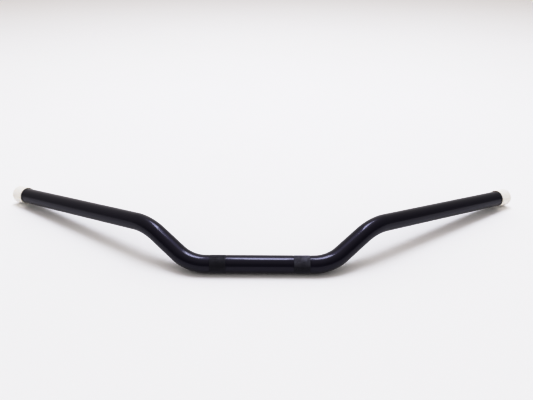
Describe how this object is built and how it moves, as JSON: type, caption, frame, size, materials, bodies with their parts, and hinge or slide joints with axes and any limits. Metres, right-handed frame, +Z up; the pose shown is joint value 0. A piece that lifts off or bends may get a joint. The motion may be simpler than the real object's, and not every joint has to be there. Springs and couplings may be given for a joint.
{
  "type": "handlebar",
  "caption": "Bent tubular motorcycle handlebar with a straight centre section, knurled clamp bands, swept-back arms and push-on end caps.",
  "frame": {"origin": "middle of the straight centre section, on the tube's axis", "axes": "+X along the centre section towards the rider's left hand, +Y back towards the rider, +Z up with the bar lying on its centre section and its end caps; the front of the bar faces -Y"},
  "size_m": [0.755, 0.214, 0.0536],
  "materials": {
    "black_paint": "gloss black paint on a steel tube, satin over the knurled bands",
    "white_plastic": "soft off-white moulded plastic with a low sheen"
  },
  "bodies": {
    "bar": {"bar_tube": "black_paint"},
    "left_cap": {"end_cap_left": "white_plastic"},
    "right_cap": {"end_cap_right": "white_plastic"}
  },
  "joints": [
    {"name": "left_cap_pull", "type": "slide", "parent": "bar", "child": "left_cap", "axis": [0.8265, 0.551, -0.1154], "range_m": [0, 0.15]},
    {"name": "right_cap_pull", "type": "slide", "parent": "bar", "child": "right_cap", "axis": [-0.8265, 0.551, -0.1154], "range_m": [0, 0.15]}
  ]
}
